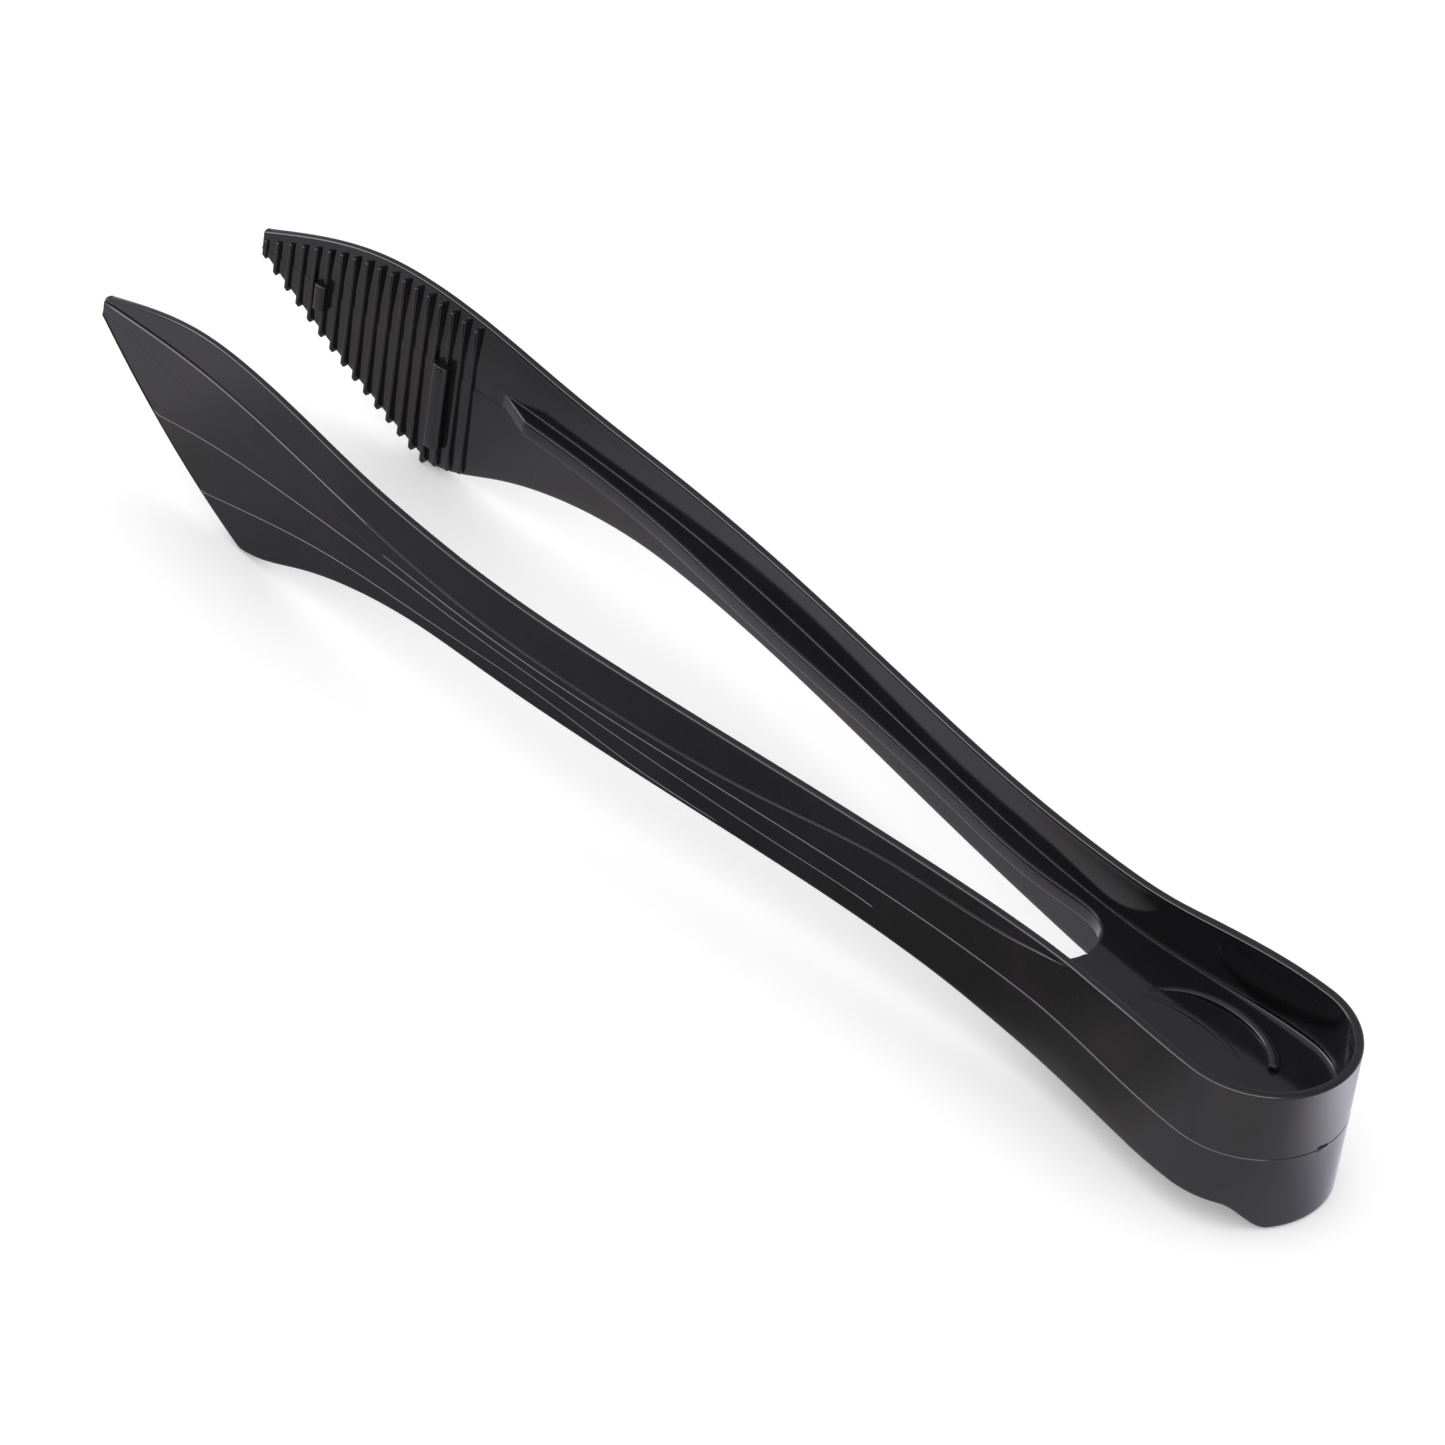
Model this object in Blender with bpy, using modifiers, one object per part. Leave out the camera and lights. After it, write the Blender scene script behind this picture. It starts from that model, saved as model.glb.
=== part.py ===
"""Serving tongs moulded in one piece: a spring bow, two arms and two ribbed jaws.

The tongs are laid out in their own draw frame: X runs from the bow's crown to the tips,
Y across the opening, Z along the height of the band, with Z = 0 on the moulding's
parting plane. Each finished piece is then tilted a little about Y, so that the tongs
stand level on the foot under the crown and on the two low corners of the jaws.
All sizes are in millimetres until the meshes are written in metres.
"""
import math

import bmesh
import bpy
import numpy as np
from mathutils import Matrix, Vector

MM = 0.001

# Lengths along X
BOW_LENGTH = 46.0          # crown to the neck, the narrowest place
ARM_LENGTH = 137.0         # neck to the root of the jaw
JAW_LENGTH = 47.0          # root of the jaw to the tip
CUT_LENGTH = 36.5          # length of the slanted end of the jaw
WIDE_SETBACK = 31.0        # jaw root back to the widest place of the arms
FLEX_SETBACK = 6.0         # neck to the line where each arm bends

# Half widths across Y, to the outer face of the band
BOW_RADIUS = 13.6
NECK_HALF = 10.9
ARM_HALF = 20.0
TIP_HALF = 15.9

# Heights above and below the parting plane
BOW_TOP = 10.9
ARM_TOP = 8.2
JAW_TOP = 11.3
TIP_TOP = 2.3
FOOT_DROP = 12.2
BOW_DROP = 8.6
ARM_DROP = 6.2
JAW_DROP = 18.6
TIP_DROP = 0.8
CUT_BULGE = 1.3            # how far the slanted end bows out past a straight cut

# Band, web and flanges
WALL = 1.7
RIM_ROUND = 0.3
WEB_TOP = 2.1
WEB_THICK = 2.6
SLOT_RADIUS = 6.9          # round end of the slot in the web
SLOT_SETBACK = 0.3         # bending line back to the middle of that round end
FLANGE_SWELL = 1.4         # how much wider an arm's flange grows at its middle
FLANGE_STOP = 2.0          # jaw root back to the flange's pointed start
FLANGE_RAMP = 7.0          # length over which the flange grows to its full reach

# Crescent rib on the web, part of an oval
WEB_RIB_OVAL = (11.2, 7.6)
WEB_RIB_CENTRE = (23.2, -0.3)
WEB_RIB_ARC = (-154.0, -11.0)
WEB_RIB_WIDE = 1.3
WEB_RIB_HIGH = 1.1

# Grip ribs and guide blocks inside the jaws
RIB_PLAIN = 4.0            # ribless root of the jaw
RIB_PITCH = 2.45
RIB_WIDE = 0.9
RIB_HIGH = 0.8
RIB_TOP_MARGIN = 1.4       # plain strip left under the jaw's top edge
RIB_OVERHANG = 0.35        # how far the ribs run past the slanted end
TIP_RIB_INSET = 0.5
SMALL_BLOCK = (2.4, 1.7, 4.6)       # length, reach from the wall, height
SMALL_BLOCK_AT = (12.8, -1.9)       # behind the tip, height of its middle
LARGE_BLOCK = (3.4, 2.1, 14.6)
LARGE_BLOCK_AT = (0.7, -7.0)        # behind the low corner, height of its middle

# Cuts between the pieces
FLEX_GAP = 0.4
SEAM_GAP = 0.3

# Places worked out from the sizes above
X_NECK = BOW_LENGTH
X_FLEX = X_NECK + FLEX_SETBACK
X_JAW = X_NECK + ARM_LENGTH
X_TIP = X_JAW + JAW_LENGTH
X_WIDE = X_JAW - WIDE_SETBACK
X_CORNER = X_TIP - CUT_LENGTH
SLOT_CENTRE = X_FLEX - SLOT_SETBACK
RIB_COUNT = int((JAW_LENGTH - TIP_RIB_INSET - RIB_PLAIN) / RIB_PITCH) + 1
STAND_TILT = math.atan2(JAW_DROP - FOOT_DROP, X_CORNER - RIM_ROUND)

PLASTIC = (0.012, 0.012, 0.013, 1.0)


# ---------------------------------------------------------------- curves

def ease(t):
    """Rise smoothly from 0 to 1 while t goes from 0 to 1."""
    t = min(max(t, 0.0), 1.0)
    return t * t * (3.0 - 2.0 * t)


def spline(points):
    """Return a natural cubic curve through a few (x, value) points."""
    xs = np.array([p[0] for p in points], float)
    ys = np.array([p[1] for p in points], float)
    count = len(xs)
    h = np.diff(xs)
    slopes = np.diff(ys) / h
    system = np.eye(count)
    right = np.zeros(count)
    for i in range(1, count - 1):
        system[i, i - 1:i + 2] = h[i - 1], 2.0 * (h[i - 1] + h[i]), h[i]
        right[i] = 6.0 * (slopes[i] - slopes[i - 1])
    bend = np.linalg.solve(system, right)

    def value(x):
        x = min(max(x, xs[0]), xs[-1])
        i = min(int(np.searchsorted(xs, x, side="right")) - 1, count - 2)
        a = (xs[i + 1] - x) / h[i]
        b = 1.0 - a
        curve = ((a ** 3 - a) * bend[i] + (b ** 3 - b) * bend[i + 1]) * h[i] ** 2 / 6.0
        return a * ys[i] + b * ys[i + 1] + curve

    return value


def half_width(x):
    """Outer half width of the arms and jaws at station x, past the bow's round end."""
    if x < X_NECK:
        t = (x - BOW_RADIUS) / (X_NECK - BOW_RADIUS)
        return BOW_RADIUS + (NECK_HALF - BOW_RADIUS) * ease(t)
    if x < X_WIDE:
        t = (x - X_NECK) / (X_WIDE - X_NECK)
        return NECK_HALF + (ARM_HALF - NECK_HALF) * ease(t)
    t = (x - X_WIDE) / (X_TIP - X_WIDE)
    return ARM_HALF - (ARM_HALF - TIP_HALF) * t * t


def band_path(x_from, x_to, count):
    """Points (x, y) on the outer face of the +Y wall, with the unit normal inwards."""
    step = 0.01
    path = []
    for x in np.linspace(x_from, x_to, count):
        slope = (half_width(x + step) - half_width(x - step)) / (2.0 * step)
        inward = Vector((slope, -1.0)).normalized()
        path.append((Vector((x, half_width(x))), inward))
    return path


def nose_path(count):
    """Points on the outer face of the round end, from the +Y side to the -Y side."""
    path = []
    for angle in np.linspace(0.5 * math.pi, 1.5 * math.pi, count):
        out = Vector((math.cos(angle), math.sin(angle)))
        path.append((Vector((BOW_RADIUS, 0.0)) + BOW_RADIUS * out, -out))
    return path


def mirrored(path):
    """The same path on the -Y wall."""
    return [(Vector((p.x, -p.y)), Vector((n.x, -n.y))) for p, n in path]


def inset(path, depth):
    """Plan points at a depth below the outer face."""
    return [p + n * depth for p, n in path]


TOP_EDGE = spline([
    (0.0, BOW_TOP),
    (28.0, BOW_TOP),
    (X_NECK + 4.0, 0.42 * BOW_TOP + 0.58 * ARM_TOP),
    (X_NECK + 44.0, ARM_TOP + 0.1),
    (X_WIDE - 10.0, ARM_TOP),
    (X_JAW - 12.0, ARM_TOP + 1.0),
    (X_JAW + 2.0, 0.2 * ARM_TOP + 0.8 * JAW_TOP),
    (X_TIP - 33.0, JAW_TOP),
    (X_TIP - 22.0, JAW_TOP - 1.0),
    (X_TIP - 11.0, 0.45 * TIP_TOP + 0.55 * JAW_TOP),
    (X_TIP, TIP_TOP),
])

LOW_EDGE = spline([
    (BOW_RADIUS, BOW_DROP - 0.1),
    (X_NECK - 11.0, BOW_DROP),
    (X_NECK + 2.0, BOW_DROP - 0.5),
    (X_NECK + 20.0, 0.3 * BOW_DROP + 0.7 * ARM_DROP),
    (X_NECK + 55.0, ARM_DROP + 0.1),
    (X_WIDE - 10.0, ARM_DROP),
    (X_CORNER - 35.5, ARM_DROP + 1.1),
    (X_CORNER - 25.5, ARM_DROP + 2.9),
    (X_CORNER - 13.5, 0.46 * ARM_DROP + 0.56 * JAW_DROP),
    (X_CORNER - 3.5, JAW_DROP - 1.1),
    (X_CORNER, JAW_DROP),
])


def low_edge(x):
    """Depth of the lower edge below the parting plane, along the arms and jaws."""
    if x <= X_CORNER:
        return LOW_EDGE(x)
    t = (x - X_CORNER) / CUT_LENGTH
    straight = JAW_DROP + (TIP_DROP - JAW_DROP) * t
    return straight + 4.0 * CUT_BULGE * t * (1.0 - t)


def foot_edge(point):
    """Depth of the lower edge round the bow: a foot hangs down under the crown."""
    angle = math.atan2(abs(point.y), BOW_RADIUS - point.x)
    along = angle * BOW_RADIUS
    return FOOT_DROP + (BOW_DROP - 0.1 - FOOT_DROP) * ease((along - 5.0) / 9.0)


def flange_reach(x):
    """How far an arm's flange stands in from the wall: it starts flush with the slot."""
    slim = half_width(X_FLEX) - WALL - SLOT_RADIUS
    middle = 0.5 * (X_NECK + X_WIDE) + 24.0
    reach = slim + FLANGE_SWELL * math.exp(-((x - middle) / 24.0) ** 2)
    stop = X_JAW - FLANGE_STOP
    return reach * min(1.0, (stop - x) / FLANGE_RAMP) - 0.05


# ---------------------------------------------------------------- mesh helpers

def tidy_scene():
    """Remove what the scene holds and make the two collections."""
    for old in list(bpy.data.objects):
        bpy.data.objects.remove(old, do_unlink=True)
    parts = bpy.data.collections.new("serving_tongs")
    cutters = bpy.data.collections.new("joining_shapes")
    for collection in (parts, cutters):
        bpy.context.scene.collection.children.link(collection)
    return parts, cutters


def plastic(name):
    """Glossy black moulded plastic."""
    material = bpy.data.materials.new(name + "_plastic")
    material.use_nodes = True
    shader = material.node_tree.nodes["Principled BSDF"]
    shader.inputs["Base Color"].default_value = PLASTIC
    shader.inputs["Roughness"].default_value = 0.18
    return material


def new_object(name, bm, collection):
    """Turn a bmesh in millimetres into an object in metres."""
    bmesh.ops.recalc_face_normals(bm, faces=bm.faces)
    bmesh.ops.scale(bm, vec=Vector((MM, MM, MM)), verts=bm.verts)
    mesh = bpy.data.meshes.new(name)
    bm.to_mesh(mesh)
    bm.free()
    obj = bpy.data.objects.new(name, mesh)
    collection.objects.link(obj)
    return obj


def apply_modifiers(obj):
    """Freeze an object's modifiers into its mesh."""
    graph = bpy.context.evaluated_depsgraph_get()
    solid = bpy.data.meshes.new_from_object(obj.evaluated_get(graph))
    obj.modifiers.clear()
    obj.data = solid


def thicken(obj, thickness, rounding):
    """Give a sheet its thickness, half to each side, and round its edges."""
    solid = obj.modifiers.new("thickness", "SOLIDIFY")
    solid.thickness = thickness * MM
    solid.offset = 0.0
    solid.use_even_offset = True
    if rounding > 0.0:
        rim = obj.modifiers.new("rounded_edges", "BEVEL")
        rim.width = rounding * MM
        rim.segments = 2
        rim.limit_method = "ANGLE"
        rim.angle_limit = math.radians(50.0)
    apply_modifiers(obj)


def wall(name, path, low, high, collection):
    """A band standing on edge along a path, between two height curves."""
    bm = bmesh.new()
    plan = inset(path, 0.5 * WALL)
    chain = [bm.verts.new((p.x, p.y, -low(p))) for p in plan]
    edges = [bm.edges.new(pair) for pair in zip(chain, chain[1:])]
    raised = bmesh.ops.extrude_edge_only(bm, edges=edges)["geom"]
    lifted = [v for v in raised if isinstance(v, bmesh.types.BMVert)]
    for vert in lifted:
        vert.co.z = high(vert.co)
    obj = new_object(name, bm, collection)
    thicken(obj, WALL, RIM_ROUND)
    return obj


def plate(name, outline, top, thick, collection):
    """A flat plate with a given outline, its upper face at a given height."""
    bm = bmesh.new()
    ring = [bm.verts.new((p[0], p[1], top - 0.5 * thick)) for p in outline]
    edges = [bm.edges.new(pair) for pair in zip(ring, ring[1:] + ring[:1])]
    bmesh.ops.triangle_fill(bm, edges=edges, use_beauty=True)
    obj = new_object(name, bm, collection)
    thicken(obj, thick, 0.0)
    return obj


def strip(name, outer, inner, top, thick, collection):
    """A flat strip between two plan curves of equal length."""
    bm = bmesh.new()
    level = top - 0.5 * thick
    chain = [bm.verts.new((p.x, p.y, level)) for p in outer]
    edges = [bm.edges.new(pair) for pair in zip(chain, chain[1:])]
    raised = bmesh.ops.extrude_edge_only(bm, edges=edges)["geom"]
    moved = [v for v in raised if isinstance(v, bmesh.types.BMVert)]
    moved.sort(key=lambda v: v.co.x)
    order = sorted(range(len(outer)), key=lambda i: outer[i].x)
    for vert, i in zip(moved, order):
        vert.co = (inner[i].x, inner[i].y, level)
    obj = new_object(name, bm, collection)
    thicken(obj, thick, 0.0)
    return obj


def bars(name, boxes, collection):
    """Several square bars as one mesh: each box is a placement and a size."""
    bm = bmesh.new()
    for placement, size in boxes:
        scale = Matrix.Diagonal((size[0], size[1], size[2], 1.0))
        bmesh.ops.create_cube(bm, size=1.0, matrix=placement @ scale)
    return new_object(name, bm, collection)


def join(target, extra):
    """Unite a second shape with the target and keep it only as a hidden joining shape."""
    union = target.modifiers.new("union", "BOOLEAN")
    union.operation = "UNION"
    union.solver = "EXACT"
    union.object = extra
    apply_modifiers(target)
    extra.hide_render = True
    extra.display_type = "WIRE"


def finish(obj, pivot):
    """Level the piece as it stands, put its origin on its pivot and give it its plastic."""
    mesh = obj.data
    bm = bmesh.new()
    bm.from_mesh(mesh)
    bmesh.ops.remove_doubles(bm, verts=bm.verts, dist=0.00001)
    bmesh.ops.dissolve_degenerate(bm, edges=bm.edges, dist=0.00001)
    bmesh.ops.triangulate(bm, faces=bm.faces)
    bmesh.ops.recalc_face_normals(bm, faces=bm.faces)
    bm.to_mesh(mesh)
    bm.free()
    place = stand_matrix() @ Vector(pivot)
    mesh.transform(Matrix.Translation(-place * MM) @ scaled(stand_matrix()))
    obj.location = place * MM
    mesh.materials.clear()
    mesh.materials.append(plastic(obj.name))


def stand_matrix():
    """Draw frame to standing frame, both in millimetres, centred over the footprint."""
    tilt = Matrix.Rotation(-STAND_TILT, 4, "Y")
    sole = tilt @ Vector((RIM_ROUND, 0.0, -FOOT_DROP))
    ends = [tilt @ Vector((0.0, 0.0, z)) for z in (-FOOT_DROP, BOW_TOP)]
    tips = [tilt @ Vector((X_TIP, 0.0, z)) for z in (-TIP_DROP, TIP_TOP)]
    middle = 0.5 * (min(p.x for p in ends) + max(p.x for p in tips))
    return Matrix.Translation((-middle, 0.0, -sole.z)) @ tilt


def scaled(matrix):
    """The same placement with its travel in metres."""
    out = matrix.copy()
    out.translation = matrix.translation * MM
    return out


# ---------------------------------------------------------------- pieces

def build_bow(parts, cutters):
    """The loop at the back: round band, web between its walls, slot end, two ribs."""
    side = band_path(BOW_RADIUS, X_FLEX - 0.5 * FLEX_GAP, 16)
    path = side[:0:-1] + nose_path(37) + mirrored(side)[1:]

    def low(p):
        return foot_edge(p) if p.x < BOW_RADIUS else low_edge(p.x)

    bow = wall("spring_bow", path, low, lambda p: TOP_EDGE(p.x), parts)
    join(bow, web_plate(path, cutters))
    join(bow, web_rib(cutters))
    finish(bow, (0.0, 0.0, 0.0))
    return bow


def web_plate(path, collection):
    """The web closes the loop at half height and ends in the slot's round end."""
    outline = [(p.x, p.y) for p in inset(path, 0.6 * WALL)]
    end = outline[-1][0]
    reach = SLOT_RADIUS
    outline.append((end, -reach))
    for angle in np.linspace(1.5 * math.pi, 0.5 * math.pi, 25):
        x = SLOT_CENTRE + SLOT_RADIUS * math.cos(angle)
        outline.append((x, SLOT_RADIUS * math.sin(angle)))
    outline.append((end, reach))
    return plate("web", outline, WEB_TOP, WEB_THICK, collection)


def web_rib(collection):
    """A low crescent rib on the web's right half, bowed towards the wall."""
    bm = bmesh.new()
    rings = []
    for angle in np.linspace(math.radians(WEB_RIB_ARC[0]), math.radians(WEB_RIB_ARC[1]), 25):
        ring = []
        for offset in (-0.5 * WEB_RIB_WIDE, 0.5 * WEB_RIB_WIDE):
            x = WEB_RIB_CENTRE[0] + (WEB_RIB_OVAL[0] + offset) * math.cos(angle)
            y = WEB_RIB_CENTRE[1] + (WEB_RIB_OVAL[1] + offset) * math.sin(angle)
            ring.append(bm.verts.new((x, y, WEB_TOP - 0.5)))
        rings.append(ring)
    sheet = [bm.faces.new((a[0], a[1], b[1], b[0])) for a, b in zip(rings, rings[1:])]
    raised = bmesh.ops.extrude_face_region(bm, geom=sheet)["geom"]
    for vert in (v for v in raised if isinstance(v, bmesh.types.BMVert)):
        vert.co.z = WEB_TOP + WEB_RIB_HIGH
    return new_object("web_rib", bm, collection)


def build_arm(name, side, parts, cutters):
    """One arm: a band on edge, stiffened by a flange along its inner face."""
    path = band_path(X_FLEX + 0.5 * FLEX_GAP, X_JAW - 0.5 * SEAM_GAP, 40)
    root = band_path(X_FLEX + 0.5 * FLEX_GAP, X_JAW - FLANGE_STOP, 60)
    if side < 0.0:
        path, root = mirrored(path), mirrored(root)
    arm = wall(name, path, lambda p: low_edge(p.x), lambda p: TOP_EDGE(p.x), parts)
    outer = inset(root, 0.6 * WALL)
    inner = [p + n * (WALL + flange_reach(p.x)) for p, n in root]
    join(arm, strip("flange", outer, inner, WEB_TOP, WEB_THICK, cutters))
    finish(arm, pivot_point(side))
    return arm


def build_jaw(name, side, blocks, parts, cutters):
    """One jaw: a blade with a slanted end, ribbed on its inner face."""
    path = band_path(X_JAW + 0.5 * SEAM_GAP, X_CORNER - 1.2, 8)
    path += band_path(X_CORNER, X_TIP, 26)
    if side < 0.0:
        path = mirrored(path)
    jaw = wall(name, path, lambda p: low_edge(p.x), lambda p: TOP_EDGE(p.x), parts)
    join(jaw, grip_ribs(side, cutters))
    if blocks:
        join(jaw, guide_blocks(side, cutters))
    finish(jaw, pivot_point(side))
    return jaw


def wall_frame(x, side):
    """A placement on the wall's inner face: local Y points into the opening."""
    spot, inward = band_path(x, x, 1)[0]
    face = spot + inward * WALL
    angle = math.atan2(-inward.x, inward.y) * side
    turn = Matrix.Rotation(angle if side > 0.0 else angle + math.pi, 4, "Z")
    return Matrix.Translation((face.x, side * face.y, 0.0)) @ turn


def inner_bar(x, side, reach, low, high, length):
    """A bar of a given length along X that stands out of the wall's inner face."""
    root = 0.5 * WALL
    depth = reach + root
    middle = Matrix.Translation((0.0, 0.5 * (reach - root), 0.5 * (low + high)))
    return wall_frame(x, side) @ middle, (length, depth, high - low)


def grip_ribs(side, collection):
    """Upright ribs side by side, from under the top edge to past the slanted end."""
    boxes = []
    for i in range(RIB_COUNT):
        x = X_TIP - TIP_RIB_INSET - i * RIB_PITCH
        low = -low_edge(x)
        low += -RIB_OVERHANG if x > X_CORNER else 0.6
        high = TOP_EDGE(x) - RIB_TOP_MARGIN
        boxes.append(inner_bar(x, side, RIB_HIGH, low, high, RIB_WIDE))
    return bars("grip_ribs", boxes, collection)


def guide_blocks(side, collection):
    """The two blocks that stand out past the ribs."""
    boxes = []
    spots = (SMALL_BLOCK, X_TIP, SMALL_BLOCK_AT), (LARGE_BLOCK, X_CORNER, LARGE_BLOCK_AT)
    for size, station, (behind, level) in spots:
        length, reach, height = size
        low, high = level - 0.5 * height, level + 0.5 * height
        boxes.append(inner_bar(station - behind, side, reach, low, high, length))
    return bars("guide_blocks", boxes, collection)


def pivot_point(side):
    """Where an arm bends: the middle of its wall beside the slot's round end."""
    spot, inward = band_path(X_FLEX, X_FLEX, 1)[0]
    middle = spot + inward * (0.5 * WALL)
    return middle.x, side * middle.y, 0.0


def main():
    parts, cutters = tidy_scene()
    build_bow(parts, cutters)
    for name, side in (("left", 1.0), ("right", -1.0)):
        build_arm(name + "_arm", side, parts, cutters)
        build_jaw(name + "_jaw", side, side < 0.0, parts, cutters)


main()
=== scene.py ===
import math

import bmesh
import bpy
import numpy as np
from mathutils import Matrix, Vector


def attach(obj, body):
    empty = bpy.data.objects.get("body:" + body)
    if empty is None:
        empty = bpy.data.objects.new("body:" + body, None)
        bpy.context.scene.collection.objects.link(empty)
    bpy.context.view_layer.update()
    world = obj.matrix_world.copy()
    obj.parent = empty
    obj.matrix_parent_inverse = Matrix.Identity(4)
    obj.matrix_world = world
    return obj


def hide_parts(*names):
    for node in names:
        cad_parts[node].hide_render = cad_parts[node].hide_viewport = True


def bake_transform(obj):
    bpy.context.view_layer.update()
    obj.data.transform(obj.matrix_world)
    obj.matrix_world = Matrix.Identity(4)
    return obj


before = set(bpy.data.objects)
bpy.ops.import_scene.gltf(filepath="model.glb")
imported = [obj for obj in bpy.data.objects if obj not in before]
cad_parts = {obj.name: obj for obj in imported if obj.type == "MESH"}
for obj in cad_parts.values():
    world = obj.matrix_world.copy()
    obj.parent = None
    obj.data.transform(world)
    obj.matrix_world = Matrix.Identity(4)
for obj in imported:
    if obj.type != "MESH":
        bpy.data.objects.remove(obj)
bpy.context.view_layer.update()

# Fine surface, plastic, floor, light and camera for the moulded serving tongs.
#
# Sizes are in millimetres in the tongs' draw frame: X from the bow's crown to the tips,
# Y across the opening, Z along the height of the band, with the parting plane at Z = 0.
# Each mesh is then tilted and moved to the place where the tongs stand.
MM = 0.001

# Overall shape
LENGTH = 229.9
NOSE = 13.6                       # radius of the bow's round end
NECK_X, NECK_HALF = 46.0, 10.9
WIDE_X, WIDE_HALF = 152.0, 20.0
TIP_HALF = 15.9
BOW_TOP, BOW_DROP = 10.9, 8.7     # band's edges at the crown, above and below the parting plane
TIP_TOP, TIP_DROP = 2.3, 0.8      # the same at the tip
WALL = 1.8
RIM = 0.5                         # rounding of the band's edges
TIP_ROUND = 0.5
SHY = 0.05                        # room left outside the wall for its fine ridges
DRAFT_UP, DRAFT_DOWN = 0.045, 0.015   # thinning of the wall for each millimetre off the web

# Jaw's corner, where the lower edge turns up into the slanted end
CORNER_X, CORNER_DROP = 193.5, 18.6
CORNER_SLOPE, CORNER_SOFT = 0.45, 0.35
SLANT_BULGE = 5.2

# Foot under the crown, by distance along the band
SOLE_X, FOOT_DROP = 0.3, 12.2
FOOT_HALF, FOOT_FADE = 6.3, 7.2
FOOT_CLEAR = 8.0                  # past the round end, from where the arm's own edge curve holds

# Web and flanges
WEB_TOP, WEB_LOW = 2.1, -0.5
SLOT_X, SLOT_R = 51.7, 6.9
SLOT_FROM, SLOT_TO = 45.6, 52.4   # band beside the slot's round end
EDGE_ROUND = 0.4
UNDER_FILLET = 0.35
FLANGE_END, FLANGE_SLANT = 181.0, 6.5
SPLIT_X, BEND_END_X = 53.0, 98.0  # bow's skin ends and the arms' skins start at the first place

# Fine lines on the outer face
STEP_FROM, STEP_FADE = 31.7, 9.0
FLOW_A_FROM, FLOW_B_FROM, FLOW_FADE = 57.0, 88.0, 20.0
HEM = 0.1                         # support rows beside the rounded edges

# Grip ribs inside the jaws
RIB_COUNT, RIB_PITCH, RIB_HALF = 18, 2.44, 0.42
RIB_REACH, TIP_RIB_REACH = 0.55, 0.3
TIP_RIB_BACK = 0.95               # first rib, back from the tip
RIB_UNDER_TOP = 1.45
RIB_OVER_LOW = 0.55               # behind the corner, above the lower edge
RIB_PAST_SLANT = 0.22             # ahead of the corner, past the slanted end
RIB_ROUND = 0.3

# Guide blocks in the right jaw: place, half width, reach, bottom, top, rounding
BLOCKS = (
    (217.2, 1.2, 1.35, -4.1, 0.4, 0.3),
    (192.8, 1.6, 1.65, -14.2, 0.5, 0.35),
)


# ---------------------------------------------------------------- curves

def ease(t):
    """Rise smoothly from 0 to 1 while t goes from 0 to 1."""
    t = min(max(t, 0.0), 1.0)
    return t * t * (3.0 - 2.0 * t)


def spline(points):
    """Return a natural cubic curve through a few (x, value) points."""
    xs = np.array([p[0] for p in points], float)
    ys = np.array([p[1] for p in points], float)
    count = len(xs)
    h = np.diff(xs)
    slopes = np.diff(ys) / h
    system = np.eye(count)
    right = np.zeros(count)
    for i in range(1, count - 1):
        system[i, i - 1:i + 2] = h[i - 1], 2.0 * (h[i - 1] + h[i]), h[i]
        right[i] = 6.0 * (slopes[i] - slopes[i - 1])
    bend = np.linalg.solve(system, right)

    def value(x):
        x = min(max(x, xs[0]), xs[-1])
        i = min(int(np.searchsorted(xs, x, side="right")) - 1, count - 2)
        a = (xs[i + 1] - x) / h[i]
        b = 1.0 - a
        curve = ((a ** 3 - a) * bend[i] + (b ** 3 - b) * bend[i + 1]) * h[i] ** 2 / 6.0
        return a * ys[i] + b * ys[i + 1] + curve

    return value


def half_width(x):
    """Outer half width past the bow's round end."""
    if x < NECK_X:
        return NOSE + (NECK_HALF - NOSE) * ease((x - NOSE) / (NECK_X - NOSE))
    if x < WIDE_X:
        return NECK_HALF + (WIDE_HALF - NECK_HALF) * ease((x - NECK_X) / (WIDE_X - NECK_X))
    t = (x - WIDE_X) / (LENGTH - WIDE_X)
    return WIDE_HALF - (WIDE_HALF - TIP_HALF) * t * t


TOP_EDGE = spline([
    (0.0, BOW_TOP), (26.0, 10.9), (41.0, 9.65), (52.0, 9.1), (65.0, 8.65), (90.0, 8.35),
    (125.0, 8.2), (146.0, 8.2), (158.0, 8.45), (171.0, 9.2), (184.0, 10.6), (196.0, 11.3),
    (208.0, 10.3), (219.0, 7.0), (LENGTH, TIP_TOP),
])
LOW_EDGE = spline([
    (NOSE, BOW_DROP), (32.0, 8.6), (45.0, 8.4), (56.0, 7.6), (67.0, 7.0), (88.0, 6.45),
    (110.0, 6.2), (140.0, 6.2), (155.0, 6.8), (168.0, 9.1), (181.0, 13.6), (190.0, 17.6),
    (CORNER_X, CORNER_DROP),
])
STEP_LINE = spline([
    (STEP_FROM, 10.8), (38.9, 9.2), (48.4, 7.0), (73.0, 5.2), (92.7, 2.75), (128.0, 1.4),
    (160.8, 2.4), (183.3, 4.4), (207.6, 4.8), (LENGTH, 1.7),
])
FLOW_LINE_A = spline([
    (57.7, -6.05), (67.0, -3.9), (85.0, -3.0), (120.0, -1.8), (161.0, -1.4),
    (184.7, -2.95), (206.0, -6.1), (214.4, -8.2),
])
FLOW_LINE_B = spline([
    (88.8, -5.2), (115.0, -4.9), (129.6, -3.6), (144.9, -3.8), (155.4, -4.6),
    (177.2, -7.3), (190.5, -10.5), (202.6, -14.1),
])
FLANGE = spline([
    (50.0, 2.2), (53.0, 2.3), (60.0, 2.9), (79.0, 2.8), (101.0, 3.2), (123.0, 3.8),
    (146.0, 2.8), (165.0, 2.2), (174.0, 2.3),
])


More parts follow.
